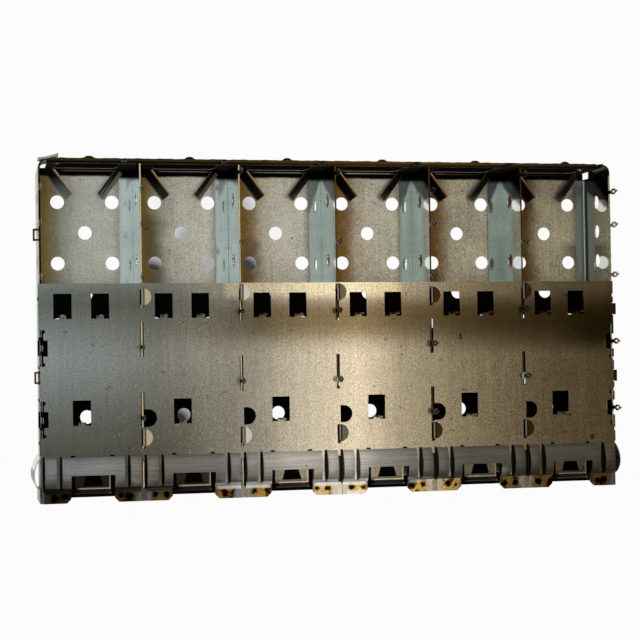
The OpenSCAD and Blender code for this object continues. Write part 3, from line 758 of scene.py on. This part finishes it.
def slotOf(node):
    if node.startswith("divider"):
        return "divider"
    return "contact_spring" if "spring" in node else node


# millimetres and radians: eased edges as width and steps, and the rounded window corners
easing = {"merge": 0.0002, "flat": 0.01, "angle": 0.6, "divider": (0.1, 3), "others": (0.035, 2)}
corners = {"radius": 0.3, "steps": 4, "height": 0.15, "lean": 0.01, "area": 0.3}


def roundCorners(piece, setup):
    # upright inner corners between long window sides get a radius of their own
    mesh = piece.data
    work = bmesh.new()
    work.from_mesh(mesh)
    layer = work.edges.layers.float.new("bevel_weight_edge")
    for edge in work.edges:
        a, b = (v.co for v in edge.verts)
        upright = abs(a.z - b.z) > setup["height"] * mm and (a - b).xy.length < setup["lean"] * mm
        if upright and len(edge.link_faces) == 2 and not edge.is_convex:
            if min(face.calc_area() for face in edge.link_faces) > setup["area"] * mm * mm:
                edge[layer] = 1.0
    work.to_mesh(mesh)
    work.free()
    curve = piece.modifiers.new("corners", "BEVEL")
    curve.width = setup["radius"] * mm
    curve.segments = setup["steps"]
    curve.limit_method = "WEIGHT"


def dress(name, source):
    # a copy of the node's mesh with its seams merged and its edges eased
    mesh = source.data.copy()
    mesh.name = name + "_dressed"
    work = bmesh.new()
    work.from_mesh(mesh)
    work.transform(source.matrix_world)
    bmesh.ops.remove_doubles(work, verts=work.verts, dist=easing["merge"] * mm)
    bmesh.ops.dissolve_limit(work, angle_limit=easing["flat"], verts=work.verts, edges=work.edges)
    work.to_mesh(mesh)
    work.free()
    mesh.materials.clear()
    mesh.materials.append(materials[slotOf(name)])
    mesh.polygons.foreach_set("use_smooth", np.ones(len(mesh.polygons), dtype=bool))
    piece = bpy.data.objects.new(name + "_dressed", mesh)
    bpy.context.scene.collection.objects.link(piece)
    if name == "base_plate":
        roundCorners(piece, corners)
    ease = piece.modifiers.new("ease", "BEVEL")
    width, ease.segments = easing["divider" if slotOf(name) == "divider" else "others"]
    ease.width = width * mm
    ease.limit_method = "ANGLE"
    ease.angle_limit = easing["angle"]
    ease.use_clamp_overlap = True
    even = piece.modifiers.new("even", "WEIGHTED_NORMAL")
    even.mode = "FACE_AREA"
    even.weight = 100
    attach(piece, "root")
    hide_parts(name)


for name, source in list(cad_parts.items()):
    if source.data.materials:
        for index in range(len(source.data.materials)):
            source.material_slots[index].material = materials[slotOf(name)]
    else:
        source.data.materials.append(materials[slotOf(name)])
    dress(name, source)
print("nodes dressed")

# millimetres: folded lip along the rear wall, its nibs, and two waves by height and turn a millimetre
rearLip = {"inner": 23.58, "outer": 24.33, "top": 10.96, "low": 10.7, "span": (-41.6, 40.6), "steps": 560,
    "nibHigh": 0.3, "nibWide": 0.6, "ease": 0.05, "waves": ((0.02, 1.7), (0.015, 4.1))}


def skin(name, ring, slot="rear_plate"):
    # closes a row of equal cross sections into a capped bar
    count, around = ring.shape[:2]
    index = np.arange(count * around).reshape(count, around)
    near, far = index[:-1], index[1:]
    quads = np.stack([near, far, np.roll(far, -1, 1), np.roll(near, -1, 1)], 2).reshape(-1, 4)
    mesh = bpy.data.meshes.new(name)
    mesh.from_pydata((ring.reshape(-1, 3) * mm).tolist(), [],
        quads.tolist() + [index[0].tolist(), index[-1][::-1].tolist()])
    work = bmesh.new()
    work.from_mesh(mesh)
    bmesh.ops.recalc_face_normals(work, faces=work.faces)
    work.to_mesh(mesh)
    work.free()
    mesh.materials.append(materials[slot])
    piece = bpy.data.objects.new(name, mesh)
    bpy.context.scene.collection.objects.link(piece)
    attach(piece, "root")
    return piece


def makeLip(setup):
    # a flat bar swept along X, its outer edge pushed out by a bell-shaped nib behind each port
    x = np.linspace(*setup["span"], setup["steps"])
    centres = (np.arange(6) - 2.5) * pitch / mm
    nib = np.exp(-((x[:, None] - centres) / setup["nibWide"]) ** 4).sum(1) * setup["nibHigh"]
    outer = setup["outer"] + nib + sum(high * np.sin(x * often) for high, often in setup["waves"])
    inner, top, low, ease = (setup[key] for key in ("inner", "top", "low", "ease"))
    outline = ((inner, low), (inner, top - ease), (inner + ease, top), (outer - ease, top),
        (outer, top - ease), (outer, low))
    ring = np.stack([np.stack(np.broadcast_arrays(x, y, z), 1) for y, z in outline], 1)
    return skin("rear_lip", ring)


makeLip(rearLip)
# millimetres: where the sprung tab starts and ends, seen from above, and its upper and lower edges
bentTab = {"root": (-42.75, 24.15), "tip": (-39.95, 24.82), "low": 8.6, "top": 11.05, "thick": 0.3,
    "sag": 0.12, "steps": 16}


def makeBentTab(setup):
    # rear corner tab sprung outward: an upright sheet from root to tip, sagging a little between them
    along = np.linspace(0, 1, setup["steps"])[:, None]
    root, tip = np.array(setup["root"]), np.array(setup["tip"])
    line = root + (tip - root) * along
    line[:, 1:] -= setup["sag"] * np.sin(np.pi * along)
    side = np.array([-(tip - root)[1], (tip - root)[0]])
    side = side / np.linalg.norm(side) * setup["thick"] / 2
    low, top = setup["low"], setup["top"]
    outline = ((line - side, low), (line - side, top), (line + side, top), (line + side, low))
    ring = np.stack([np.column_stack([edge, np.full(len(edge), z)]) for edge, z in outline], 1)
    return skin("bent_tab", ring)


makeBentTab(bentTab)
print("rear lip and corner tab made")

# floor half size in metres, the room's light overhead and at the horizon, the floor's share of glow
studio = {"floor": 1.5, "zenith": 0.10, "horizon": 0.5, "zenithFrom": 0.8, "glow": 0.96}
# floor shade in metres: contact strips along the rear wall and at its right corner, low and high corners
floorStrips = (((-0.0403, 0.0215, -1), (0.0422, 0.0251, 1)), ((0.0438, 0.0232, -1), (0.0452, 0.0248, 1)))
# round shade under the left ports: X, Y and radius in millimetres, and depth
floorSpots = ((-25.8, 8.2, 4.6, 0.96), (-11.6, 9.0, 4.2, 0.95), (-19.6, 13.0, 5.6, 0.6),
    (-16.9, 9.6, 3.4, 0.6), (-12.5, 18.4, 4.0, 0.5), (-22.5, -14.0, 5.0, 0.97), (-21.5, 18.5, 6.0, 0.12),
    (-6.0, 14.6, 3.4, 0.08))
# area lights one metre away: lean from overhead toward +X and toward +Y in degrees, span in metres
lamps = {
    "stripe": {"aim": 14.0, "ahead": 0, "span": (0.07, 1.0), "level": 2.5, "tint": (1.0, 0.92, 0.78)},
    "leftSky": {"aim": -15.5, "ahead": 0, "span": (0.95, 1.2), "level": 0.36, "tint": (0.95, 1.0, 0.99)},
    "rearPanel": {"aim": 10, "ahead": 38, "span": (0.6, 0.3), "level": 1.2, "tint": (1.0, 0.97, 0.9)},
}


def makeFloor(setup):
    size = setup["floor"]
    mesh = bpy.data.meshes.new("floor")
    mesh.from_pydata([(-size, -size, 0), (size, -size, 0), (size, size, 0), (-size, size, 0)], [],
        [(0, 1, 2, 3)])
    floor = bpy.data.objects.new("floor", mesh)
    bpy.context.scene.collection.objects.link(floor)
    material = bpy.data.materials.new("floor_white")
    material.use_nodes = True
    tree = material.node_tree
    tree.nodes.clear()
    output = tree.nodes.new("ShaderNodeOutputMaterial")
    mix = tree.nodes.new("ShaderNodeMixShader")
    diffuse = tree.nodes.new("ShaderNodeBsdfDiffuse")
    glow = tree.nodes.new("ShaderNodeEmission")
    path = tree.nodes.new("ShaderNodeLightPath")
    vector = tree.nodes.new("ShaderNodeTexCoord").outputs["Object"]
    shade = 0.0
    for low, high in floorStrips:
        shade = mathNode(tree, "MAXIMUM", shade,
            useGroup(tree, windowGroup, Vector=vector, Low=low, High=high, Soft=0.2 * mm)["Mask"])
    for x, y, radius, depth in floorSpots:
        far = vectorMath(tree, "DISTANCE", vector, (x * mm, y * mm, 0))["Value"]
        # full within a third of the radius
        fall = mathNode(tree, "SUBTRACT", 1.5, mathNode(tree, "MULTIPLY", far, 1.5 / (radius * mm)),
            clamp=True)
        shade = mathNode(tree, "MAXIMUM", shade, mathNode(tree, "MULTIPLY", fall, depth))
    tree.links.new(mixColour(tree, shade, (1, 1, 1), "080707"), glow.inputs["Color"])
    tree.links.new(mixColour(tree, shade, (0.85, 0.85, 0.85), (0.008, 0.008, 0.008)),
        diffuse.inputs["Color"])
    seen = mathNode(tree, "MAXIMUM", path.outputs["Is Camera Ray"], path.outputs["Is Glossy Ray"])
    tree.links.new(mathNode(tree, "MULTIPLY", seen, setup["glow"]), mix.inputs[0])
    tree.links.new(diffuse.outputs[0], mix.inputs[1])
    tree.links.new(glow.outputs[0], mix.inputs[2])
    tree.links.new(mix.outputs[0], output.inputs[0])
    mesh.materials.append(material)


def makeWorld(setup):
    world = bpy.data.worlds.new("studio")
    bpy.context.scene.world = world
    world.use_nodes = True
    tree = world.node_tree
    tree.nodes.clear()
    output = tree.nodes.new("ShaderNodeOutputWorld")
    mix = tree.nodes.new("ShaderNodeMixShader")
    room = tree.nodes.new("ShaderNodeBackground")
    white = tree.nodes.new("ShaderNodeBackground")
    white.inputs["Color"].default_value = (1, 1, 1, 1)
    split = tree.nodes.new("ShaderNodeSeparateXYZ")
    tree.links.new(tree.nodes.new("ShaderNodeTexCoord").outputs["Generated"], split.inputs[0])
    level = rampNode(tree, mathNode(tree, "ABSOLUTE", split.outputs[2]),
        [(0.0, setup["horizon"]), (setup["zenithFrom"], setup["zenith"])])
    tree.links.new(level, room.inputs["Color"])
    path = tree.nodes.new("ShaderNodeLightPath")
    tree.links.new(path.outputs["Is Camera Ray"], mix.inputs[0])
    tree.links.new(room.outputs[0], mix.inputs[1])
    tree.links.new(white.outputs[0], mix.inputs[2])
    tree.links.new(mix.outputs[0], output.inputs[0])


def makeLamp(name, setup):
    data = bpy.data.lights.new(name, "AREA")
    data.shape = "RECTANGLE"
    data.size, data.size_y = setup["span"]
    data.energy = np.pi * data.size * data.size_y * setup["level"]
    data.color = setup["tint"]
    lamp = bpy.data.objects.new(name, data)
    bpy.context.scene.collection.objects.link(lamp)
    lean, ahead = np.radians(setup["aim"]), np.radians(setup["ahead"])
    lamp.location = (np.sin(lean) * np.cos(ahead), np.sin(ahead), np.cos(lean) * np.cos(ahead))
    lamp.rotation_euler = (-ahead, lean, 0)


makeFloor(studio)
makeWorld(studio)
for name, setup in lamps.items():
    makeLamp(name, setup)
bpy.context.scene.view_settings.view_transform = "Standard"
print("studio ready")

bpy.context.view_layer.update()
